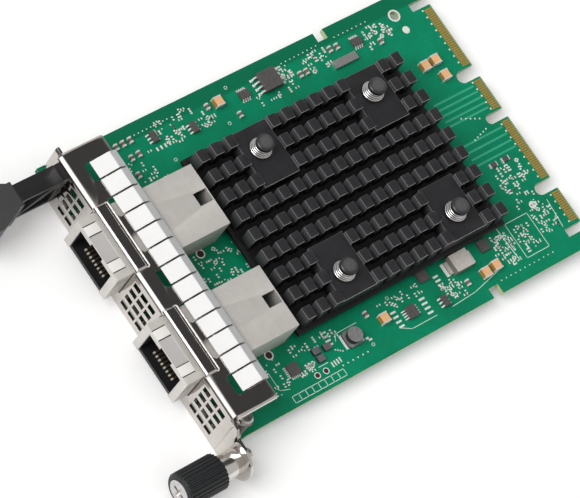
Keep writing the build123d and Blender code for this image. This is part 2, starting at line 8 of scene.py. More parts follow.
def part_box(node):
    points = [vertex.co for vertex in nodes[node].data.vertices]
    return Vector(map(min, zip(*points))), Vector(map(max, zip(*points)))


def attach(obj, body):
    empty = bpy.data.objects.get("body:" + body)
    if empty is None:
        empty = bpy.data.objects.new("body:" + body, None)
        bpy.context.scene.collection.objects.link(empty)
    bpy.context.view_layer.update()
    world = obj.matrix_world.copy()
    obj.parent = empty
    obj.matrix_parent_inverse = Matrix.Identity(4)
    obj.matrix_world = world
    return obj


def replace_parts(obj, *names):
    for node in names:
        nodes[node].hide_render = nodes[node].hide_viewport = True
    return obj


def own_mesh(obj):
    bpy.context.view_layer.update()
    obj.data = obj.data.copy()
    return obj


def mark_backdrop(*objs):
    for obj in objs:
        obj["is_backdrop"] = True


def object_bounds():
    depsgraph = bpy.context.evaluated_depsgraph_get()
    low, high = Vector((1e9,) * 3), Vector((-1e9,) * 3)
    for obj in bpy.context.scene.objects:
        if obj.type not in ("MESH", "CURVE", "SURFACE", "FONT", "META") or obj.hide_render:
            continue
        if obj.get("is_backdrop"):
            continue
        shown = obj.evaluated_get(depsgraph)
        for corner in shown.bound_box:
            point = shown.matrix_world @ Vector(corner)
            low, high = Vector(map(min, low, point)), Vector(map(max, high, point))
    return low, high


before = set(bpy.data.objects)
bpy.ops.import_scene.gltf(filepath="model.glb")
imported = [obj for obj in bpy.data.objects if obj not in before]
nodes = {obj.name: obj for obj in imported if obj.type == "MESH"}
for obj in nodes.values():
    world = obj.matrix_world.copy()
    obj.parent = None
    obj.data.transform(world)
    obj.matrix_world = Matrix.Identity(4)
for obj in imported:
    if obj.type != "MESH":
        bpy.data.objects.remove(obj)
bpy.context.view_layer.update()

# Circuit board: glass-fibre laminate under green solder mask, with the copper layers showing as faint
# lighter and darker fields. It is routed to shape, so its edges are bare, pale laminate.
mm = 0.001
board_low, board_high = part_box("circuit_board")


def on_board(x, y, height=0.0):
    """A point in metres, from millimetres across the board, back from its front and above its top."""
    return Vector((x * mm, board_low.y + y * mm, board_high.z + height * mm))


def feed(tree, socket, value):
    """Links a socket to another one, or sets it to a plain value."""
    if isinstance(value, bpy.types.NodeSocket):
        tree.links.new(value, socket)
    else:
        socket.default_value = value


def add_node(tree, kind, **values):
    """A node with its named inputs fed; words in lower case are the node's own settings."""
    node = tree.nodes.new(kind)
    for key, value in values.items():
        if key[0].islower():
            setattr(node, key, value)
        else:
            feed(tree, node.inputs[key.replace("_", " ")], value)
    return node


def reckon(tree, operation, *values):
    """The result of a maths node on linked or plain values."""
    node = add_node(tree, "ShaderNodeMath", operation=operation)
    for socket, value in zip(node.inputs, values):
        feed(tree, socket, value)
    return node.outputs[0]


def mix_colours(tree, share, first, second):
    """One colour passing into another as the share grows."""
    node = add_node(tree, "ShaderNodeMix", data_type="RGBA")
    for place, value in ((0, share), (6, first), (7, second)):
        feed(tree, node.inputs[place], value)
    return node.outputs[2]


def ramp(tree, value, start, end):
    """Nought up to the start, one from the end on."""
    node = add_node(tree, "ShaderNodeMapRange", Value=value, From_Min=start, From_Max=end)
    return node.outputs[0]


def new_group(name, inputs, outputs):
    """An empty shader group with named sockets, and its two end nodes."""
    group = bpy.data.node_groups.new(name, "ShaderNodeTree")
    for label, kind in inputs:
        group.interface.new_socket(label, in_out="INPUT", socket_type="NodeSocket" + kind)
    for label, kind in outputs:
        group.interface.new_socket(label, in_out="OUTPUT", socket_type="NodeSocket" + kind)
    return group, group.nodes.new("NodeGroupInput"), group.nodes.new("NodeGroupOutput")


GRAIN_FINENESS = 14.0
GRAIN_SHARE = 0.35
MOTTLE_START = 0.42
MOTTLE_END = 0.92


def mottle_group():
    """Colour and gloss that wander a little over a surface, with a fine grain for its bump."""
    group, inside, out = new_group(
        "mottle",
        [("Light", "Color"), ("Dark", "Color"), ("Scale", "Float"), ("Roughness", "Float"),
         ("Spread", "Float")],
        [("Colour", "Color"), ("Roughness", "Float"), ("Grain", "Float")])
    given = inside.outputs
    place = add_node(group, "ShaderNodeTexCoord").outputs["Object"]
    broad = add_node(group, "ShaderNodeTexNoise", Vector=place, Scale=given["Scale"], Detail=4.0,
                     Roughness=0.62)
    finer = reckon(group, "MULTIPLY", given["Scale"], GRAIN_FINENESS)
    noise = add_node(group, "ShaderNodeTexNoise", Vector=place, Scale=finer, Detail=2.0, Roughness=0.5)
    grain = noise.outputs["Fac"]
    blend = reckon(group, "MULTIPLY_ADD", grain, GRAIN_SHARE, broad.outputs["Fac"])
    share = ramp(group, blend, MOTTLE_START, MOTTLE_END)
    centred = reckon(group, "SUBTRACT", grain, 0.5)
    gloss = reckon(group, "MULTIPLY_ADD", centred, given["Spread"], given["Roughness"])
    feed(group, out.inputs["Colour"], mix_colours(group, share, given["Light"], given["Dark"]))
    feed(group, out.inputs["Roughness"], gloss)
    feed(group, out.inputs["Grain"], grain)
    return group


mottle = mottle_group()
GRAIN_DEPTH = 0.02


def shader(material):
    """A material's Principled shader."""
    return material.node_tree.nodes["Principled BSDF"]


def finish(name, light, dark, scale, roughness, spread=0.1, metallic=0.0, bump=0.1, specular=0.5):
    """A Principled material fed by the mottle group, with its grain as a fine bump."""
    material = bpy.data.materials.new(name)
    material.use_nodes = True
    tree = material.node_tree
    surface = shader(material).inputs
    wander = add_node(tree, "ShaderNodeGroup", node_tree=mottle)
    wander.inputs["Light"].default_value = (*light, 1)
    wander.inputs["Dark"].default_value = (*dark, 1)
    wander.inputs["Scale"].default_value = scale
    wander.inputs["Roughness"].default_value = roughness
    wander.inputs["Spread"].default_value = spread
    relief = add_node(tree, "ShaderNodeBump", Strength=bump, Distance=GRAIN_DEPTH * mm,
                      Height=wander.outputs["Grain"])
    feed(tree, surface["Base Color"], wander.outputs["Colour"])
    feed(tree, surface["Roughness"], wander.outputs["Roughness"])
    feed(tree, surface["Normal"], relief.outputs[0])
    surface["Metallic"].default_value = metallic
    surface["Specular IOR Level"].default_value = specular
    return material


def dress(node, material):
    """Gives a CAD node its finish."""
    for place in nodes[node].material_slots:
        place.material = material


def facing_mask(material, axis, start, end, both=False):
    """Where the surface faces along an axis; with both, either way along it."""
    tree = material.node_tree
    normal = add_node(tree, "ShaderNodeNewGeometry").outputs["Normal"]
    value = add_node(tree, "ShaderNodeSeparateXYZ", Vector=normal).outputs[axis]
    if both:
        value = reckon(tree, "ABSOLUTE", value)
    return ramp(tree, value, start, end)


def place_mask(material, axis, start, end, centre=None):
    """Where a coordinate in millimetres, or its distance from a centre, has passed from start to end."""
    tree = material.node_tree
    place = add_node(tree, "ShaderNodeTexCoord").outputs["Object"]
    value = add_node(tree, "ShaderNodeSeparateXYZ", Vector=place).outputs[axis]
    if centre is not None:
        value = reckon(tree, "ABSOLUTE", reckon(tree, "SUBTRACT", value, centre * mm))
    return ramp(tree, value, start * mm, end * mm)


def overlap(material, first, *others):
    """Where all the masks hold."""
    for other in others:
        first = reckon(material.node_tree, "MULTIPLY", first, other)
    return first


def tint(material, mask, colour):
    """Lays another colour over a finish where the mask holds."""
    tree = material.node_tree
    base = shader(material).inputs["Base Color"]
    feed(tree, base, mix_colours(tree, mask, base.links[0].from_socket, (*colour, 1)))


DEEP_GREEN = (0.0, 0.150, 0.070)
FLANGE_SHADE = (0.006, 0.012, 0.009)
BARE_LAMINATE = (0.47, 0.52, 0.30)
solder_mask = finish("green_solder_mask", light=(0.0, 0.255, 0.128), dark=(0.0, 0.175, 0.083), scale=60.0,
                     roughness=0.42, spread=0.08, bump=0.08, specular=0.25)
far_margin = place_mask(solder_mask, "X", -33.7, -34.3)
tint(solder_mask, far_margin, DEEP_GREEN)
# Painted shade on the board's top and front edge under the faceplate's flange, between the ears.
behind_plate = place_mask(solder_mask, "Y", -107.6, -108.6)
between_ears = place_mask(solder_mask, "X", 36.6, 36.4, centre=0.0)
for axis, start, end in (("Z", 0.5, 0.8), ("Y", -0.5, -0.8)):
    facing = facing_mask(solder_mask, axis, start, end)
    tint(solder_mask, overlap(solder_mask, behind_plate, between_ears, facing), FLANGE_SHADE)
upright = facing_mask(solder_mask, "Z", 0.92, 0.88, both=True)
past_plate = place_mask(solder_mask, "Y", -109.0, -108.0)
tint(solder_mask, overlap(solder_mask, upright, past_plate), BARE_LAMINATE)
dress("circuit_board", solder_mask)


# Board print: tinned pads, via dots, pale copper tracks under the mask and printed outlines.
# All of it is flat work a few hundredths of a millimetre high, laid out on the board by rows.
def to_mesh(work, name):
    """A bmesh as a plain mesh."""
    mesh = bpy.data.meshes.new(name)
    work.to_mesh(mesh)
    work.free()
    return mesh


def to_object(name, data):
    """A new object in the scene."""
    made = bpy.data.objects.new(name, data)
    bpy.context.scene.collection.objects.link(made)
    return made


def settle(piece):
    """Makes what a piece's modifiers show its own plain mesh."""
    bpy.context.view_layer.update()
    shown = bpy.data.meshes.new_from_object(piece.evaluated_get(bpy.context.evaluated_depsgraph_get()))
    piece.modifiers.clear()
    piece.data = shown


def box_mesh(name, bevel=0.0):
    """A unit box on its base, with its edges eased."""
    work = bmesh.new()
    bmesh.ops.create_cube(work, size=1.0)
    bmesh.ops.translate(work, verts=work.verts, vec=(0, 0, 0.5))
    if bevel:
        bmesh.ops.bevel(work, geom=work.edges[:], offset=bevel, segments=2, profile=0.6, affect="EDGES")
    return to_mesh(work, name)


def disc_mesh(name, sides=10):
    """A unit disc standing on its base."""
    work = bmesh.new()
    bmesh.ops.create_cone(work, cap_ends=True, segments=sides, radius1=0.5, radius2=0.46, depth=1.0)
    bmesh.ops.translate(work, verts=work.verts, vec=(0, 0, 0.5))
    return to_mesh(work, name)


def copies_tree():
    """Sets a prototype on every point, with that point's own stretch and turn."""
    tree = bpy.data.node_groups.new("laid_out_copies", "GeometryNodeTree")
    for label, kind in (("Geometry", "Geometry"), ("Prototype", "Object"), ("Stretch", "Float"),
                        ("Finish", "Material")):
        tree.interface.new_socket(label, in_out="INPUT", socket_type="NodeSocket" + kind)
    tree.interface.new_socket("Geometry", in_out="OUTPUT", socket_type="NodeSocketGeometry")
    given = tree.nodes.new("NodeGroupInput").outputs
    end = tree.nodes.new("NodeGroupOutput")
    pattern = add_node(tree, "GeometryNodeObjectInfo", Object=given["Prototype"])
    stretch = add_node(tree, "GeometryNodeInputNamedAttribute", data_type="FLOAT_VECTOR", Name="stretch")
    turn = add_node(tree, "GeometryNodeInputNamedAttribute", data_type="FLOAT", Name="turn")
    axis = add_node(tree, "ShaderNodeCombineXYZ", Z=turn.outputs[0])
    rotation = add_node(tree, "FunctionNodeEulerToRotation", Euler=axis.outputs[0])
    scaled = add_node(tree, "ShaderNodeVectorMath", operation="SCALE", Vector=stretch.outputs[0],
                      Scale=given["Stretch"])
    placed = add_node(tree, "GeometryNodeInstanceOnPoints", Points=given["Geometry"],
                      Instance=pattern.outputs["Geometry"], Rotation=rotation.outputs[0],
                      Scale=scaled.outputs[0])
    real = add_node(tree, "GeometryNodeRealizeInstances", Geometry=placed.outputs[0])
    painted = add_node(tree, "GeometryNodeSetMaterial", Geometry=real.outputs[0], Material=given["Finish"])
    tree.links.new(painted.outputs[0], end.inputs[0])
    return tree


copies = copies_tree()


def lay_out(name, prototype, rows, material):
    """One mesh of copies of a prototype. A row is a point, a stretch in millimetres and a turn about Z."""
    pattern = to_object(name + "_pattern", prototype)
    points = bpy.data.meshes.new(name + "_points")
    points.from_pydata([row[0] for row in rows], [], [])
    points.attributes.new("stretch", "FLOAT_VECTOR", "POINT")
    points.attributes.new("turn", "FLOAT", "POINT")
    for i, row in enumerate(rows):
        points.attributes["stretch"].data[i].vector = row[1]
        points.attributes["turn"].data[i].value = row[2] if len(row) > 2 else 0.0
    piece = to_object(name, points)
    modifier = piece.modifiers.new("layout", "NODES")
    modifier.node_group = copies
    settings = {"Prototype": pattern, "Stretch": mm, "Finish": material}
    for item in copies.interface.items_tree:
        if item.in_out == "INPUT" and item.name in settings:
            modifier[item.identifier] = settings[item.name]
    settle(piece)
    bpy.data.objects.remove(pattern)
    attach(piece, "card")
    return piece


tinned = finish("tinned_pads", light=(0.86, 0.88, 0.84), dark=(0.66, 0.72, 0.66), scale=900.0,
                roughness=0.42, spread=0.2, metallic=0.1)
printed = finish("board_print", light=(0.62, 0.84, 0.72), dark=(0.50, 0.74, 0.62), scale=700.0,
                 roughness=0.6)
track_green = finish("track_under_mask", light=(0.05, 0.40, 0.235), dark=(0.03, 0.33, 0.19), scale=300.0,
                     roughness=0.34, spread=0.08)
draw = random.Random(41)
pad_rows = []
dot_rows = []
ink_rows = []
track_rows = []
PAD_HEIGHT = 0.035
INK_HEIGHT = 0.02
INK_WIDTH = 0.16
TRACK_HEIGHT = 0.015
TRACK_WIDTH = 0.5


def pad(x, y, long_x, long_y):
    """One tinned pad."""
    pad_rows.append((on_board(x, y), (long_x, long_y, PAD_HEIGHT)))


def pad_row(x, y, step_x, step_y, count, long_x, long_y):
    """Equal pads at an even step."""
    for i in range(count):
        pad(x + i * step_x, y + i * step_y, long_x, long_y)


def dot(x, y, size):
    """One via dot."""
    dot_rows.append((on_board(x, y), (size, size, PAD_HEIGHT)))


def dot_row(x, y, step_x, step_y, count, size):
    """Via dots at an even step."""
    for i in range(count):
        dot(x + i * step_x, y + i * step_y, size)


def flat_bar(x0, y0, x1, y1, width, height):
    """The row of a flat bar from one point to another."""
    long = math.hypot(x1 - x0, y1 - y0) + width
    middle = on_board((x0 + x1) / 2, (y0 + y1) / 2)
    return middle, (long, width, height), math.atan2(y1 - y0, x1 - x0)


def ink_line(x0, y0, x1, y1, width=INK_WIDTH):
    """A printed line from one point to another."""
    ink_rows.append(flat_bar(x0, y0, x1, y1, width, INK_HEIGHT))


def ink_box(x0, y0, x1, y1):
    """A printed rectangle."""
    for ends in ((x0, y0, x1, y0), (x1, y0, x1, y1), (x1, y1, x0, y1), (x0, y1, x0, y0)):
        ink_line(*ends)


ACROSS_CHANCE = 0.45
ACROSS_STEP = 0.7
ALONG_CHANCE = 0.6
ALONG_STEP = 0.8


def pad_field(x0, y0, x1, y1, count, size):
    """Scattered small pads, in pairs, and vias of an unfitted circuit, on a half-millimetre grid."""
    for i in range(count):
        x = x0 + round(draw.random() * (x1 - x0) * 2) / 2
        y = y0 + round(draw.random() * (y1 - y0) * 2) / 2
        if draw.random() < ACROSS_CHANCE:
            pad_row(x - ACROSS_STEP / 2, y, ACROSS_STEP, 0.0, 2, size * 0.7, size)
        elif draw.random() < ALONG_CHANCE:
            pad_row(x, y - ALONG_STEP / 2, 0.0, ALONG_STEP, 2, size, size * 0.6)
        else:
            dot(x, y, size * 0.7)


# Behind the contacts: rows of dots, two of them slanting, and straight tracks
for first_x, count in ((-31.0, 9), (-9.8, 5), (2.4, 9), (23.0, 5)):
    dot_row(first_x, 111.9, 1.9, 0.0, count, 0.5)
dot_row(-1.3, 107.6, -0.5, -1.1, 5, 0.45)
dot_row(1.6, 107.4, 0.3, -1.1, 5, 0.45)
for x in (-9.0, -7.4, -5.8, -4.2, -2.8, 3.0, 4.9, 6.8, 8.6):
    track_rows.append(flat_bar(x, 99.0, x, 111.4, TRACK_WIDTH, TRACK_HEIGHT))
# Rows of dots along both margins
dot_row(-34.8, 70.0, -0.02, 1.35, 9, 0.34)
dot_row(-34.9, 86.5, 0.0, 1.4, 8, 0.34)
dot_row(-35.0, 26.0, 0.0, 1.2, 9, 0.34)
dot_row(35.2, 86.5, 0.0, 1.5, 12, 0.34)
dot_row(34.7, 37.7, 0.0, 1.5, 6, 0.4)
# Unfitted circuits on the margin away from the thumbscrew
pad_field(-36.0, 30.5, -33.5, 44.0, 14, 0.5)
pad_field(-33.4, 32.0, -29.0, 38.0, 22, 0.55)
pad_field(-33.0, 42.0, -29.0, 47.0, 16, 0.5)
pad_field(-30.5, 58.5, -27.5, 71.0, 14, 0.5)
pad_field(-34.5, 67.5, -31.0, 71.0, 14, 0.6)
pad_field(-34.0, 75.5, -29.5, 82.0, 26, 0.55)
pad_field(-33.5, 93.5, -28.5, 101.0, 30, 0.6)
pad_field(-30.0, 14.0, -22.0, 28.0, 16, 0.5)
# Between the ports
pad_field(-3.0, 20.0, 6.4, 32.0, 46, 0.5)
# On the margin beside the thumbscrew, and behind the heat sink
pad_field(24.8, 16.0, 34.0, 24.0, 20, 0.5)
pad_field(25.5, 27.5, 28.0, 41.0, 20, 0.5)
pad_field(31.5, 27.0, 33.0, 31.0, 8, 0.5)
pad_field(26.0, 54.0, 28.5, 66.0, 18, 0.5)
pad_field(28.5, 71.5, 34.0, 76.5, 26, 0.5)
pad_field(25.5, 89.5, 33.5, 95.0, 52, 0.55)
pad_field(26.0, 97.0, 32.0, 102.0, 26, 0.5)
pad_field(24.0, 104.0, 30.5, 110.5, 34, 0.5)
pad_field(11.2, 101.5, 18.0, 110.0, 40, 0.55)
pad_field(19.0, 102.0, 23.5, 108.0, 12, 0.5)
pad_field(30.4, 29.4, 31.8, 32.4, 12, 0.5)
# Pads in rows, round packages and at the inductors' ends
pad_row(33.4, 35.5, -0.07, 0.8, 4, 1.3, 0.36)
pad_row(31.9, 47.0, 0.6, 0.6, 2, 0.5, 0.9)
dot_row(30.7, 38.3, 0.35, 0.5, 4, 0.4)
pad(-35.0, 32.0, 0.4, 0.9)
pad_row(-29.6, 29.0, 0.0, 1.2, 4, 1.0, 0.45)
pad_row(-34.2, 60.3, 1.27, 0.0, 4, 0.65, 0.8)
pad_row(-34.2, 67.8, 1.27, 0.0, 4, 0.65, 0.8)
pad_row(30.0, 65.2, 1.25, 0.0, 4, 0.5, 1.7)
pad_row(29.6, 56.6, 1.25, 0.0, 4, 0.5, 1.6)
pad_row(27.0, 71.8, 1.1, 0.0, 4, 0.5, 1.5)
pad_row(26.0, 38.0, 1.05, 0.0, 4, 0.45, 1.5)
pad_row(28.85, 24.25, 0.5, 0.0, 6, 0.28, 0.75)
pad_row(31.75, 24.8, 0.0, 0.5, 5, 0.75, 0.28)
pad_row(30.2, 41.2, 0.0, 4.6, 2, 3.6, 0.8)
pad_row(26.8, 75.1, 0.0, 7.8, 2, 3.4, 1.2)
# Two round sighting marks
for x, y in ((-28.7, 104.8), (23.0, 106.0)):
    dot(x, y, 2.0)
# Printed outlines: a field with a line beside it, a row of eight boxes near the long edge, lines round the
# fitted circuits and small squares
ink_box(24.0, 96.1, 33.5, 103.2)
ink_line(23.2, 93.4, 33.0, 94.0, 0.22)
box_row_x = (35.35, 37.05)
box_row_y = (21.9, 37.2)
box_count = 8
ink_box(box_row_x[0], box_row_y[0], box_row_x[1], box_row_y[1])
for i in range(1, box_count):
    y = box_row_y[0] + (box_row_y[1] - box_row_y[0]) * i / box_count
    ink_line(box_row_x[0], y, box_row_x[1], y)
ink_line(32.4, 32.1, 32.4, 34.7, 0.2)
for ends in ((27.5, 40.5, 27.5, 46.8), (27.5, 40.5, 29.0, 39.6), (35.0, 66.2, 35.0, 58.6),
             (35.0, 58.6, 33.6, 56.2), (34.6, 78.6, 35.0, 71.2), (34.6, 78.6, 32.6, 88.2),
             (23.5, 110.2, 31.0, 109.6), (28.2, 20.2, 32.8, 20.2), (32.8, 20.2, 33.6, 22.6)):
    ink_line(*ends)
square_half = 0.35
for x, y in ((-35.5, 53.5), (-27.5, 49.0), (26.0, 57.5), (33.8, 47.5), (-25.5, 31.5)):
    ink_box(x - square_half, y - square_half, x + square_half, y + square_half)
lay_out("solder_pads", box_mesh("pad_form", 0.06), pad_rows, tinned)
lay_out("via_dots", disc_mesh("via_form"), dot_rows, tinned)
lay_out("printed_outlines", box_mesh("ink_form"), ink_rows, printed)
lay_out("copper_tracks", box_mesh("track_form"), track_rows, track_green)


# Plated holes: copper barrels with a tinned ring on both sides of the board, at the tooling hole, at the
# header and beside each port. The small ones are drawn as a ring round a copper disc darkened by painted
# shade.
def ring_mesh(name, hole, sides=28):
    """A flat ring of unit outer diameter with a hole of the given share."""
    work = bmesh.new()
    loops = []
    for radius, height in ((0.5, 0.0), (0.5, 1.0), (0.5 * hole, 1.0), (0.5 * hole, 0.0)):
        loop = []
        for i in range(sides):
            angle = 2 * math.pi * i / sides
            loop.append(work.verts.new((radius * math.cos(angle), radius * math.sin(angle), height)))
        loops.append(loop)
    for k in range(4):
        low, high = loops[k], loops[(k + 1) % 4]
        for i in range(sides):
            work.faces.new((low[i], low[(i + 1) % sides], high[(i + 1) % sides], high[i]))
    bmesh.ops.recalc_face_normals(work, faces=work.faces)
    return to_mesh(work, name)


TOOLING_RING = (-33.1, 104.25, 3.2)
PORT_RING, PORT_HOLE = 2.3, 1.74
HEADER_RING, HEADER_HOLE = 1.6, 1.2
DISC_HEIGHT = 0.012
board_thickness = (board_high.z - board_low.z) / mm
rings = [TOOLING_RING]
shaded_disc_rows = []
for x, y, ring, hole in ((-3.35, 22.95, PORT_RING, PORT_HOLE), (24.55, 22.95, PORT_RING, PORT_HOLE),
                         (33.9, 30.6, HEADER_RING, HEADER_HOLE), (33.9, 33.15, HEADER_RING, HEADER_HOLE)):
    rings.append((x, y, ring))
    shaded_disc_rows.append((on_board(x, y), (hole, hole, DISC_HEIGHT)))
ring_rows = []
for x, y, ring in rings:
    for height in (0.0, -board_thickness - PAD_HEIGHT):
        ring_rows.append((on_board(x, y, height), (ring, ring, PAD_HEIGHT)))
lay_out("hole_rings", ring_mesh("ring_form", 0.74), ring_rows, tinned)
shaded_barrel_finish = finish("hole_shade", light=(0.050, 0.018, 0.010), dark=(0.020, 0.010, 0.008), scale=900.0,
                roughness=0.6)
lay_out("hole_bottoms", disc_mesh("hole_form", 24), shaded_disc_rows, shaded_barrel_finish)

# Gold contacts of the card edge: copper fingers on both sides of the board, under hard gold.
# They are etched with the board, plated, and a little scuffed from being plugged in.
gold = finish("hard_gold", light=(0.66, 0.39, 0.085), dark=(0.52, 0.29, 0.055), scale=900.0,
              roughness=0.36, spread=0.18, metallic=0.45, bump=0.12)
dress("edge_contacts", gold)

# Moulded packages: memory, line driver, logic and transistors in black epoxy, with tinned gull-wing leads.
# The bodies are moulded with eased edges; the leads are bent sheet, soldered to the pads.
epoxy = finish("moulded_epoxy", light=(0.100, 0.094, 0.090), dark=(0.062, 0.058, 0.057), scale=1500.0,
               roughness=0.5, spread=0.2, bump=0.25)
tin = finish("bright_tin", light=(0.86, 0.86, 0.84), dark=(0.70, 0.70, 0.69), scale=1200.0,
             roughness=0.34, spread=0.2, metallic=0.25)
eased_box = box_mesh("eased_box", 0.045)
STAND_OFF = 0.1
SHOULDER_SHARE = 0.55
lead_rows = []


def lead_mesh(name):
    """A gull-wing lead one unit long, wide and high: shoulder at the package, foot on the pad."""
    outline = [(0.0, 0.72), (0.30, 0.72), (0.52, 0.0), (1.0, 0.0),
               (1.0, 0.28), (0.66, 0.28), (0.44, 1.0), (0.0, 1.0)]
    work = bmesh.new()
    sides = []
    for x in (-0.5, 0.5):
        sides.append([work.verts.new((x, y, z)) for y, z in outline])
    work.faces.new(sides[0])
    work.faces.new(list(reversed(sides[1])))
    for i in range(len(outline)):
        j = (i + 1) % len(outline)
        work.faces.new((sides[0][j], sides[0][i], sides[1][i], sides[1][j]))
    bmesh.ops.recalc_face_normals(work, faces=work.faces)
    return to_mesh(work, name)


def node_places(node):
    """Middle of each separate block of a node, in millimetres on the board, with its three sizes."""
    work = bmesh.new()
    work.from_mesh(nodes[node].data)
    bmesh.ops.remove_doubles(work, verts=work.verts, dist=1e-6)
    unseen = set(work.verts)
    found = []
    while unseen:
        island = [unseen.pop()]
        for vert in island:
            for edge in vert.link_edges:
                other = edge.other_vert(vert)
                if other in unseen:
                    unseen.remove(other)
                    island.append(other)
        low = [min(vert.co[k] for vert in island) / mm for k in range(3)]
        high = [max(vert.co[k] for vert in island) / mm for k in range(3)]
        size = [high[k] - low[k] for k in range(3)]
        found.append((low[0] + size[0] / 2, low[1] + size[1] / 2 - board_low.y / mm, *size))
    work.free()
    return sorted(found)


def packages(node, count, pitch, reach, lead_width, turn=0.0):
    """A node's bodies, each with leads on two opposite sides, which run along its own Y before its turn."""
    body_rows = []
    for x, y, size_x, size_y, height in node_places(node):
        across, along = (size_y, size_x) if turn else (size_x, size_y)
        body = (across, along - 2 * reach, height - STAND_OFF)
        body_rows.append((on_board(x, y, STAND_OFF), body, turn))
        for side in (turn, turn + math.pi):
            for i in range(count):
                shift = Vector(((i - (count - 1) / 2) * pitch, body[1] / 2, 0))
                shift.rotate(Matrix.Rotation(side, 3, "Z"))
                lead = (lead_width, reach, height * SHOULDER_SHARE)
                lead_rows.append((on_board(x + shift.x, y + shift.y), lead, side))
    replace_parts(lay_out(node + "_bodies", eased_box, body_rows, epoxy), node)


packages("flash_memory", count=4, pitch=1.27, reach=1.4, lead_width=0.42)
packages("line_driver", count=4, pitch=0.65, reach=0.9, lead_width=0.3)
packages("logic_chips", count=4, pitch=0.65, reach=0.8, lead_width=0.3, turn=math.pi / 2)
packages("transistor_packages", count=3, pitch=0.95, reach=0.7, lead_width=0.4)
lay_out("package_leads", lead_mesh("lead_form"), lead_rows, tin)
dress("power_chips", epoxy)

# Ceramic parts: capacitors in tan and grey-brown ceramic, and thick-film resistors.
# Each is a fired block with a tinned cap on either end, soldered down.
tan = finish("tan_ceramic", light=(0.84, 0.50, 0.26), dark=(0.74, 0.41, 0.19), scale=900.0,
             roughness=0.42, spread=0.12, bump=0.15)
# Painted shade: the front (-Y) faces of the tan capacitors are tinted brown.
tint(tan, facing_mask(tan, "Y", -0.5, -0.8), (0.42, 0.22, 0.06))
grey_brown = finish("grey_brown_ceramic", light=(0.20, 0.155, 0.125), dark=(0.13, 0.095, 0.07),
                    scale=1100.0, roughness=0.45, spread=0.12, bump=0.15)
film = finish("resistor_film", light=(0.11, 0.11, 0.12), dark=(0.06, 0.06, 0.07), scale=1100.0,
              roughness=0.4, spread=0.12)
BODY_LIFT = 0.03
BODY_WIDTH = 0.95
BODY_HEIGHT = 0.96
end_rows = []


def end_capped(node, share, material):
    """A node's blocks with a cap on either end, that share of their length and a little proud of them."""
    body_rows = []
    for x, y, size_x, size_y, height in node_places(node):
        size = Vector((size_x, size_y))
        along = Vector((1, 0)) if size_x >= size_y else Vector((0, 1))
        across = Vector((1, 1)) - along
        body = size * (along * (1 - share) + across * BODY_WIDTH)
        body_rows.append((on_board(x, y, BODY_LIFT), (*body, height * BODY_HEIGHT)))
        shift = size * along * (1 - share) / 2
        cap = size * (along * share + across)
        for side in (-1, 1):
            end_rows.append((on_board(x + side * shift.x, y + side * shift.y), (*cap, height)))
    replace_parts(lay_out(node + "_bodies", eased_box, body_rows, material), node)


end_capped("ceramic_capacitors", 0.12, tan)
end_capped("small_capacitors", 0.28, grey_brown)
end_capped("chip_resistors", 0.2, film)
lay_out("end_caps", eased_box, end_rows, tin)

# Inductors, ferrite beads and crystal: pressed ferrite, matt grey on top with painted shade darkening its
# sides, and a drawn metal can. All are soldered to the board, the two inductors by terminals under their
# ends.
inductor_grey = finish("pressed_ferrite", light=(0.58, 0.545, 0.50), dark=(0.43, 0.40, 0.365), scale=1300.0,
                       roughness=0.62, spread=0.15, bump=0.3)
drum_black = finish("drum_ferrite", light=(0.26, 0.255, 0.26), dark=(0.13, 0.13, 0.135), scale=1300.0,
                    roughness=0.5, spread=0.15, bump=0.3)
bead_grey = finish("bead_ferrite", light=(0.15, 0.15, 0.165), dark=(0.10, 0.10, 0.11), scale=1100.0,
                   roughness=0.5, spread=0.12)
for ferrite, painted_side_shade in ((inductor_grey, (0.20, 0.185, 0.17)), (drum_black, (0.016, 0.016, 0.017)),
                             (bead_grey, (0.014, 0.014, 0.016))):
    tint(ferrite, facing_mask(ferrite, "Z", 0.8, 0.5), painted_side_shade)
can = finish("crystal_can", light=(0.62, 0.62, 0.60), dark=(0.50, 0.50, 0.49), scale=700.0,
             roughness=0.36, spread=0.15, metallic=0.8)
dress("square_inductor", inductor_grey)
dress("round_inductor", drum_black)
dress("clock_crystal", can)
bead_rows = []
for x, y, size_x, size_y, height in node_places("ferrite_beads"):
    bead_rows.append((on_board(x, y), (size_x, size_y, height)))
bead_bodies = lay_out("ferrite_beads_bodies", eased_box, bead_rows, bead_grey)
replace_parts(bead_bodies, "ferrite_beads")

# Controller chip and thermal pad: an epoxy ball-grid package soldered to the middle of the board, and the
# grey silicone sheet that is pressed between it and the heat sink.
pad_grey = finish("silicone_pad", light=(0.36, 0.37, 0.39), dark=(0.28, 0.29, 0.31), scale=300.0,
                  roughness=0.75, bump=0.3)
dress("controller_chip", epoxy)
dress("thermal_pad", pad_grey)

# Heat sink: forged aluminium, black anodised: a thin base with rows of upright pins and a flat seat round
# each push pin. Its edges are broken and worn all round, and their rims carry painted highlights and shade.
MERGE_DISTANCE = 2e-6
FLAT_ANGLE = math.radians(0.5)
EASED_ANGLE = math.radians(35)
SHARP_ANGLE = math.radians(28)


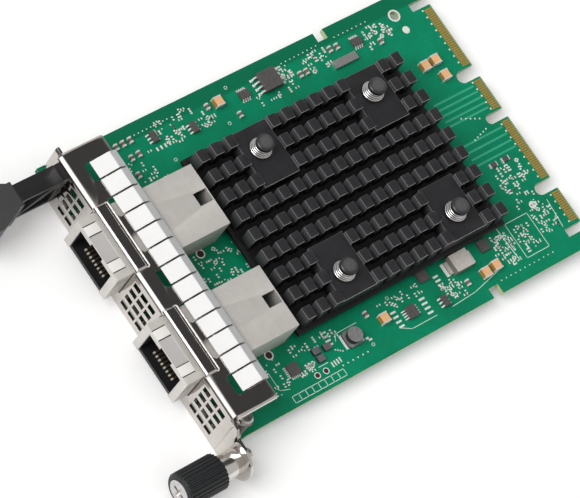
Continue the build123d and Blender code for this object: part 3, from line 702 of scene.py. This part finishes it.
def eased_copy(node, width, material, body="card", segments=2, rim=None):
    """A copy of a CAD node with rounded edges, which stands for it; a rim is a separate finish laid on the
    rounded edges only.
    """
    work = bmesh.new()
    work.from_mesh(nodes[node].data)
    bmesh.ops.remove_doubles(work, verts=work.verts, dist=MERGE_DISTANCE)
    bmesh.ops.dissolve_limit(work, angle_limit=FLAT_ANGLE, verts=work.verts[:], edges=work.edges[:])
    mesh = to_mesh(work, node + "_eased")
    mesh.materials.append(material)
    piece = to_object(node + "_eased", mesh)
    bevel = piece.modifiers.new("eased", "BEVEL")
    if rim:
        mesh.materials.append(rim)
        bevel.material = 1
    bevel.width = width * mm
    bevel.segments = segments
    bevel.limit_method = "ANGLE"
    bevel.angle_limit = EASED_ANGLE
    bevel.use_clamp_overlap = True
    settle(piece)
    for face in piece.data.polygons:
        face.use_smooth = True
    piece.data.set_sharp_from_angle(angle=SHARP_ANGLE)
    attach(piece, body)
    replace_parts(piece, node)


PAINTED_FRONT_LIGHT = (0.075, 0.074, 0.079)
SIDE_SHADE = (0.008, 0.008, 0.009)
CHANNEL_SHADE = (0.003, 0.003, 0.004)
PAINTED_DEEP_EDGE_SHADE = (0.006, 0.006, 0.007)
PAINTED_EDGE_HIGHLIGHT = (0.50, 0.50, 0.50)
PAINTED_FRONT_EDGE_HIGHLIGHT = (0.28, 0.28, 0.28)
anodised = finish("black_anodised", light=(0.026, 0.025, 0.029), dark=(0.017, 0.016, 0.018), scale=260.0,
                  roughness=0.46, spread=0.2, metallic=0.2, bump=0.12)
# Painted light and shade: front faces lighter, +X faces darker, faces deep in the channels darker still.
tint(anodised, facing_mask(anodised, "Y", -0.5, -0.9), PAINTED_FRONT_LIGHT)
tint(anodised, facing_mask(anodised, "X", 0.5, 0.9), SIDE_SHADE)
tint(anodised, place_mask(anodised, "Z", 8.3, 4.6), CHANNEL_SHADE)
# The rims are paler as worn anodising.
worn_and_highlit_edge = finish("worn_and_highlit_anodised", light=(0.120, 0.118, 0.122), dark=(0.070, 0.069, 0.072), scale=700.0,
                   roughness=0.4, spread=0.2, metallic=0.3)
# Painted highlights on the upward rims that face +X, the front, and the back at the seats.
upward = facing_mask(worn_and_highlit_edge, "Z", 0.10, 0.35)
side_edge_highlight = overlap(worn_and_highlit_edge, facing_mask(worn_and_highlit_edge, "X", 0.10, 0.35), upward)
tint(worn_and_highlit_edge, side_edge_highlight, PAINTED_EDGE_HIGHLIGHT)
front_edge_highlight = overlap(worn_and_highlit_edge, facing_mask(worn_and_highlit_edge, "Y", -0.10, -0.35), upward)
tint(worn_and_highlit_edge, front_edge_highlight, PAINTED_FRONT_EDGE_HIGHLIGHT)
seat_level = place_mask(worn_and_highlit_edge, "Z", 8.5, 8.3)
seat_edge_highlight = overlap(worn_and_highlit_edge, facing_mask(worn_and_highlit_edge, "Y", 0.10, 0.35), seat_level)
tint(worn_and_highlit_edge, seat_edge_highlight, PAINTED_EDGE_HIGHLIGHT)
# Painted shade on the rims deep below the seats.
shade_below_seats = place_mask(worn_and_highlit_edge, "Z", 7.9, 7.4)
tint(worn_and_highlit_edge, shade_below_seats, PAINTED_DEEP_EDGE_SHADE)
eased_copy("heat_sink", 0.2, anodised, rim=worn_and_highlit_edge)

# Push pins: black nylon with split barbs that snap in below the board.
# A conical steel wire spring stands on the heat sink's seat under each head and holds the sink down.
nylon = finish("black_nylon", light=(0.020, 0.020, 0.022), dark=(0.012, 0.012, 0.013), scale=900.0,
               roughness=0.33, spread=0.15, bump=0.15)
# Painted highlight: the flat tops of the heads are tinted grey.
tint(nylon, facing_mask(nylon, "Z", 0.93, 0.99), (0.085, 0.085, 0.086))
eased_copy("push_pins", 0.12, nylon, segments=3)
spring_wire = finish("spring_wire", light=(0.74, 0.73, 0.72), dark=(0.55, 0.54, 0.53), scale=1500.0,
                     roughness=0.24, spread=0.2, metallic=1.0)
WIRE_SMOOTH_ANGLE = math.radians(50)


def wound_wire(centre, axis, turns, rise, radius_low, radius_high, wire, steps=28, sides=8):
    """A round wire wound about an axis: (mesh points, faces), with closed ends."""
    verts = []
    faces = []
    up = Vector(axis).normalized()
    side = up.orthogonal().normalized()
    cross = up.cross(side)
    count = turns * steps
    for i in range(count + 1):
        share = i / count
        angle = 2 * math.pi * i / steps
        out = side * math.cos(angle) + cross * math.sin(angle)
        radius = radius_low + (radius_high - radius_low) * share
        middle = centre + (out * radius + up * rise * share) * mm
        for k in range(sides):
            spin = 2 * math.pi * k / sides
            verts.append(middle + (out * math.cos(spin) + up * math.sin(spin)) * (wire / 2 * mm))
    for i in range(count):
        for k in range(sides):
            n = (k + 1) % sides
            faces.append((i * sides + k, i * sides + n, (i + 1) * sides + n, (i + 1) * sides + k))
    faces.append(tuple(range(sides)))
    faces.append(tuple(count * sides + k for k in reversed(range(sides))))
    return verts, faces


def mesh_piece(name, parts, material):
    """One object on the card from several lists of points and faces."""
    verts = []
    faces = []
    for part_verts, part_faces in parts:
        shift = len(verts)
        verts.extend(part_verts)
        faces.extend(tuple(shift + i for i in face) for face in part_faces)
    mesh = bpy.data.meshes.new(name)
    mesh.from_pydata(verts, [], faces)
    work = bmesh.new()
    work.from_mesh(mesh)
    bmesh.ops.recalc_face_normals(work, faces=work.faces)
    work.to_mesh(mesh)
    work.free()
    mesh.materials.append(material)
    for face in mesh.polygons:
        face.use_smooth = True
    mesh.set_sharp_from_angle(angle=WIRE_SMOOTH_ANGLE)
    piece = to_object(name, mesh)
    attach(piece, "card")
    return piece


PIN_COIL_LOW = 7.66
pin_coils = []
for place in node_places("push_pins"):
    coil_foot = on_board(*place[:2], PIN_COIL_LOW)
    pin_coils.append(wound_wire(coil_foot, axis=(0, 0, 1), turns=4, rise=2.05, radius_low=2.64,
                                radius_high=1.9, wire=0.5))
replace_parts(mesh_piece("push_pin_coils", pin_coils, spring_wire), "push_pin_springs")

# Ports: folded, nickel-plated shields over black housings, with gold wires in the plug cavity.
# The front of each shield's top is slit into tongues beside a recessed middle; a painted highlight
# brightens the tongues and painted shade darkens the middle.
PAINTED_TONGUE_HIGHLIGHT = (0.92, 0.90, 0.86)
PAINTED_MIDDLE_SHADE = (0.50, 0.485, 0.47)
PAINTED_WIRE_GLINT = (0.80, 0.72, 0.56)
port_black = finish("port_plastic", light=(0.016, 0.016, 0.017), dark=(0.010, 0.010, 0.011), scale=700.0,
                    roughness=0.4, spread=0.12, bump=0.15)
# Painted shade: the gold wires are coloured dark brown, as shaded in the cavity.
shaded_wire_gold = finish("port_wires", light=(0.050, 0.034, 0.018), dark=(0.030, 0.020, 0.011), scale=900.0,
                   roughness=0.4, metallic=0.3)
# Painted glint: the wires' front tips are tinted pale gold.
tint(shaded_wire_gold, place_mask(shaded_wire_gold, "Y", -116.45, -116.6), PAINTED_WIRE_GLINT)
port_middles = []
for side in ("left_port", "right_port"):
    shield_low, shield_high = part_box(side + "_shield")
    port_x = (shield_low.x + shield_high.x) / 2 / mm
    port_middles.append(port_x)
    shield_metal = finish(side + "_nickel", light=(0.63, 0.605, 0.57), dark=(0.56, 0.54, 0.505),
                          scale=500.0, roughness=0.42, metallic=0.3, bump=0.04)
    top = facing_mask(shield_metal, "Z", 0.6, 0.9)
    front = place_mask(shield_metal, "Y", -115.6, -115.8)
    tongues = place_mask(shield_metal, "X", 6.2, 6.1, centre=port_x)
    tint(shield_metal, overlap(shield_metal, tongues, top, front), PAINTED_TONGUE_HIGHLIGHT)
    middle = place_mask(shield_metal, "X", 3.62, 3.5, centre=port_x)
    tint(shield_metal, overlap(shield_metal, middle, top, front), PAINTED_MIDDLE_SHADE)
    eased_copy(side + "_shield", 0.06, shield_metal)
    dress(side + "_housing", port_black)
    dress(side + "_magnetics", port_black)
    dress(side + "_contacts", shaded_wire_gold)

# Faceplate: one sheet of nickel-plated steel, pierced, folded and drawn over the ports, polished on its
# outside. A raised bead stands on the flange over each port, and two screws hold the feet to the board.
HOOD_SHADE = (0.03, 0.028, 0.026)
FOLD_SHADE = (0.07, 0.062, 0.056)
PAINTED_FOLD_HIGHLIGHT = (0.93, 0.92, 0.90)
nickel = finish("bright_nickel", light=(0.64, 0.605, 0.57), dark=(0.58, 0.545, 0.515), scale=350.0,
                roughness=0.07, spread=0.03, metallic=1.0, bump=0.015)
# Painted shade on the front of each hood.
hood_low = place_mask(nickel, "Z", 11.7, 11.8)
hood_high = place_mask(nickel, "Z", 12.55, 12.45)
hood_front = overlap(nickel, facing_mask(nickel, "Y", -0.45, -0.65), hood_low, hood_high)
tint(nickel, hood_front, HOOD_SHADE)
# Along the front fold: a painted dark reflection below a painted white highlight, which is not metallic.
fold = overlap(nickel, facing_mask(nickel, "Y", -0.15, -0.30), place_mask(nickel, "Z", 10.0, 10.3))
fold_low = overlap(nickel, fold, facing_mask(nickel, "Z", 0.02, 0.10), facing_mask(nickel, "Z", 0.50, 0.42))
tint(nickel, fold_low, FOLD_SHADE)
fold_highlight = overlap(nickel, fold, facing_mask(nickel, "Z", 0.52, 0.60))
tint(nickel, fold_highlight, PAINTED_FOLD_HIGHLIGHT)
metal_outside_highlight = reckon(nickel.node_tree, "SUBTRACT", 1.0, fold_highlight)
feed(nickel.node_tree, shader(nickel).inputs["Metallic"], metal_outside_highlight)
eased_copy("faceplate", 0.1, nickel)
# Painted highlight: the beads are near white and barely metallic, unlike the polished nickel round them.
bead_highlight_metal = finish("bead_nickel_highlight", light=(0.90, 0.885, 0.87), dark=(0.78, 0.76, 0.74), scale=350.0,
                    roughness=0.2, spread=0.03, metallic=0.2)
BEAD_BACK = 3.5
BEAD_HEIGHT = 11.02


def rounded_bead(centre, long, wide, radius, arc_steps=8, sides=8):
    """A raised bead, half sunk, round a slot-shaped path: (mesh points, faces)."""
    verts = []
    faces = []
    up = Vector((0, 0, 1))
    count = 2 * (arc_steps + 1)
    for i in range(count):
        end = 1 if i <= arc_steps else -1
        angle = math.pi * (i % (arc_steps + 1)) / arc_steps - end * math.pi / 2
        out = Vector((math.cos(angle), math.sin(angle), 0))
        middle = centre + (Vector((end * (long - wide) / 2, 0, 0)) + out * wide / 2) * mm
        for k in range(sides):
            spin = 2 * math.pi * k / sides
            verts.append(middle + (out * math.cos(spin) + up * math.sin(spin)) * (radius * mm))
    for i in range(count):
        j = (i + 1) % count
        for k in range(sides):
            n = (k + 1) % sides
            faces.append((i * sides + k, i * sides + n, j * sides + n, j * sides + k))
    return verts, faces


beads = []
for port_x in port_middles:
    beads.append(rounded_bead(on_board(port_x, BEAD_BACK, BEAD_HEIGHT), long=17.4, wide=0.85, radius=0.17))
mesh_piece("hood_beads", beads, bead_highlight_metal)
screw_steel = finish("screw_steel", light=(0.66, 0.65, 0.64), dark=(0.50, 0.49, 0.48), scale=900.0,
                     roughness=0.3, spread=0.16, metallic=1.0)
dress("faceplate_screws", screw_steel)

# Finger strip: thin springy alloy, slit into fingers, bent and plated bright.
# It is clipped over the rear edge of the flange, and its fingers slope forward over the flange.
fingers = finish("finger_strip", light=(0.95, 0.95, 0.94), dark=(0.90, 0.90, 0.89), scale=300.0,
                 roughness=0.3, spread=0.03, metallic=0.15, bump=0.01)
# Painted shade: the fingers' rear-facing slopes are tinted grey.
tint(fingers, facing_mask(fingers, "Y", 0.12, 0.42), (0.56, 0.57, 0.58))
dress("emi_finger_strip", fingers)

# Pull tab: an open arm and a flared grip, moulded in one piece of dark plastic, paler on the grip.
# Two steel rivets hold it to the front of the faceplate.
tab_plastic = finish("tab_plastic", light=(0.024, 0.024, 0.026), dark=(0.016, 0.016, 0.018), scale=500.0,
                     roughness=0.36, specular=0.25)
grip = place_mask(tab_plastic, "Y", -126.3, -127.0)
tint(tab_plastic, grip, (0.062, 0.060, 0.061))
eased_copy("pull_tab", 0.25, tab_plastic)
dress("pull_tab_rivets", screw_steel)

# Captive thumbscrew: a nickel ferrule, pressed into the faceplate's ear, round a steel screw, a washer and
# a coil spring, with a ribbed black knob on the screw. Pushing the knob in squeezes the spring.
COIL_WIRE = 0.4
COIL_TURNS = 8
ferrule_nickel = finish("ferrule_nickel", light=(0.72, 0.69, 0.66), dark=(0.64, 0.61, 0.58), scale=350.0,
                        roughness=0.16, spread=0.05, metallic=1.0)
eased_copy("screw_ferrule", 0.12, ferrule_nickel)
dress("captive_screw", screw_steel)
dress("slip_washer", screw_steel)
coil_low, coil_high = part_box("screw_spring")
coil_long = (coil_high.y - coil_low.y) / mm
coil_radius = (coil_high.x - coil_low.x) / 2 / mm - COIL_WIRE / 2
coil_seat = (coil_low + coil_high) / 2
coil_seat.y = coil_high.y
coil_start = coil_seat - Vector((0, COIL_WIRE / 2 * mm, 0))
winding = wound_wire(coil_start, axis=(0, -1, 0), turns=COIL_TURNS, rise=coil_long - COIL_WIRE,
                     radius_low=coil_radius, radius_high=coil_radius, wire=COIL_WIRE)
screw_coil = mesh_piece("screw_coil", [winding], spring_wire)
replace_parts(screw_coil, "screw_spring")
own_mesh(screw_coil)
knob_black = finish("knob_black", light=(0.009, 0.010, 0.011), dark=(0.005, 0.006, 0.007), scale=900.0,
                    roughness=0.42, spread=0.15, specular=0.3)
# Painted highlight: the rounded edges of the ribs are tinted paler than the black knob.
knob_ridge_highlight = finish("knob_ridge_highlights", light=(0.060, 0.062, 0.066), dark=(0.035, 0.037, 0.040), scale=900.0,
                    roughness=0.45, spread=0.15)
eased_copy("thumb_knob", 0.09, knob_black, body="thumbscrew", segments=1, rim=knob_ridge_highlight)

# Floor, light and camera: a pale seamless floor, one broad soft lamp from the front left, and an even room
# with one dark patch that the polished flange reflects. The camera stands where the photo was taken from.
FLOOR_HALF = 3.0
FLOOR_DROP = 0.2
FLOOR_WHITE = 0.92
FLOOR_GLOW = 0.16
LAMP_STRENGTH = 2.0
LAMP_BREADTH = math.radians(40)
LAMP_SHINES = Vector((0.24, 0.66, -0.71))
ROOM_STRENGTH = 0.62
PATCH_STRENGTH = 0.07
PATCH_TOWARDS = Vector((-0.18, 0.52, 0.83))
PATCH_RIM_COSINE = 0.905
PATCH_FULL_COSINE = 0.96
low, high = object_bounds()
floor_z = low.z - FLOOR_DROP * mm
corners = [(x * FLOOR_HALF, y * FLOOR_HALF, floor_z) for x, y in ((-1, -1), (1, -1), (1, 1), (-1, 1))]
floor_mesh = bpy.data.meshes.new("floor")
floor_mesh.from_pydata(corners, [], [(0, 1, 2, 3)])
floor = to_object("floor", floor_mesh)
paper = bpy.data.materials.new("pale_floor")
paper.use_nodes = True
paper_surface = shader(paper).inputs
paper_surface["Base Color"].default_value = (FLOOR_WHITE, FLOOR_WHITE, FLOOR_WHITE, 1)
paper_surface["Roughness"].default_value = 0.9
paper_surface["Emission Color"].default_value = (1, 1, 1, 1)
seen = add_node(paper.node_tree, "ShaderNodeLightPath").outputs
direct = seen["Is Camera Ray"]
for kind in ("Is Glossy Ray", "Is Transmission Ray"):
    direct = reckon(paper.node_tree, "MAXIMUM", direct, seen[kind])
glow = reckon(paper.node_tree, "MULTIPLY", direct, FLOOR_GLOW)
feed(paper.node_tree, paper_surface["Emission Strength"], glow)
floor_mesh.materials.append(paper)
lamp_data = bpy.data.lights.new("soft_lamp", "SUN")
lamp_data.energy = LAMP_STRENGTH
lamp_data.angle = LAMP_BREADTH
lamp = to_object("soft_lamp", lamp_data)
lamp.rotation_mode = "QUATERNION"
lamp.rotation_quaternion = LAMP_SHINES.to_track_quat("-Z", "Y")
world = bpy.data.worlds.new("room")
bpy.context.scene.world = world
world.use_nodes = True
room = world.node_tree
backdrop = room.nodes["Background"]
backdrop.inputs["Color"].default_value = (1.0, 0.99, 0.98, 1)
direction = add_node(room, "ShaderNodeTexCoord").outputs["Generated"]
nearness = add_node(room, "ShaderNodeVectorMath", operation="DOT_PRODUCT")
feed(room, nearness.inputs[0], direction)
feed(room, nearness.inputs[1], PATCH_TOWARDS.normalized())
shade = add_node(room, "ShaderNodeMapRange", interpolation_type="SMOOTHSTEP",
                 Value=nearness.outputs["Value"], From_Min=PATCH_RIM_COSINE, From_Max=PATCH_FULL_COSINE,
                 To_Min=ROOM_STRENGTH, To_Max=PATCH_STRENGTH)
feed(room, backdrop.inputs["Strength"], shade.outputs[0])
camera_data = bpy.data.cameras.new("camera")
camera_data.lens = 241.2
camera_data.sensor_width = 36.0
camera_data.clip_end = 10.0
camera = to_object("camera", camera_data)
right = Vector((0.5528, 0.7541, 0.3546))
down = Vector((0.8138, -0.3970, -0.4244))
forward = Vector((-0.1793, 0.5232, -0.8331))
stand = Vector((0.1637, -0.5340, 0.737085))
turn = Matrix((right, -down, -forward)).transposed()
camera.matrix_world = Matrix.Translation(stand) @ turn.to_4x4()
bpy.context.scene.camera = camera
bpy.context.scene.view_settings.view_transform = "Standard"
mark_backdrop(floor, lamp, camera)

low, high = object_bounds()
